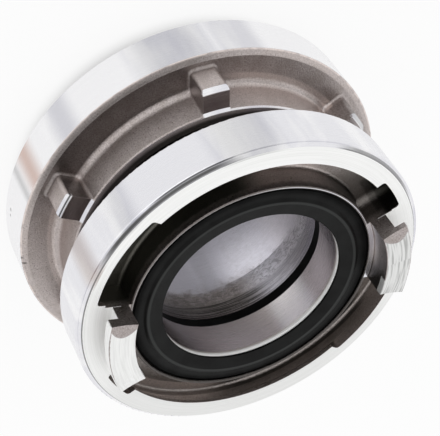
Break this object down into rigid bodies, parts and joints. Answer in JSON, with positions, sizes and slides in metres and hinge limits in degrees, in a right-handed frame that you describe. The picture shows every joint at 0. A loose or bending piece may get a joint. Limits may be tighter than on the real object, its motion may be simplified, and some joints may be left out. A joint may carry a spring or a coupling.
{
  "type": "hose coupling reducer",
  "caption": "Aluminium reducer that joins two sizes of lug hose coupling: a fixed small half and a turning large lug ring with spanner ribs.",
  "frame": {"origin": "on the couplings' axis, at the level of the large coupling's lug ends, which the part stands on", "axes": "+Z along the axis from the large coupling to the small one, X through the lugs of the small coupling"},
  "size_m": [0.126, 0.126, 0.0761],
  "materials": {
    "cast_aluminium": "cast with machined faces",
    "turned_aluminium": "turned",
    "black_rubber": "satin"
  },
  "bodies": {
    "fixed_half": {"small_coupling_body": "cast_aluminium", "stem": "turned_aluminium", "stem_gasket": "black_rubber", "small_seal": "black_rubber", "large_seal": "black_rubber"},
    "lug_ring": {"large_lug_ring": "cast_aluminium"}
  },
  "joints": [
    {"name": "lug_ring_turn", "type": "hinge", "parent": "fixed_half", "child": "lug_ring", "pos_m": [0, 0, 0.0259], "axis": [0, 0, 1], "continuous": true}
  ]
}
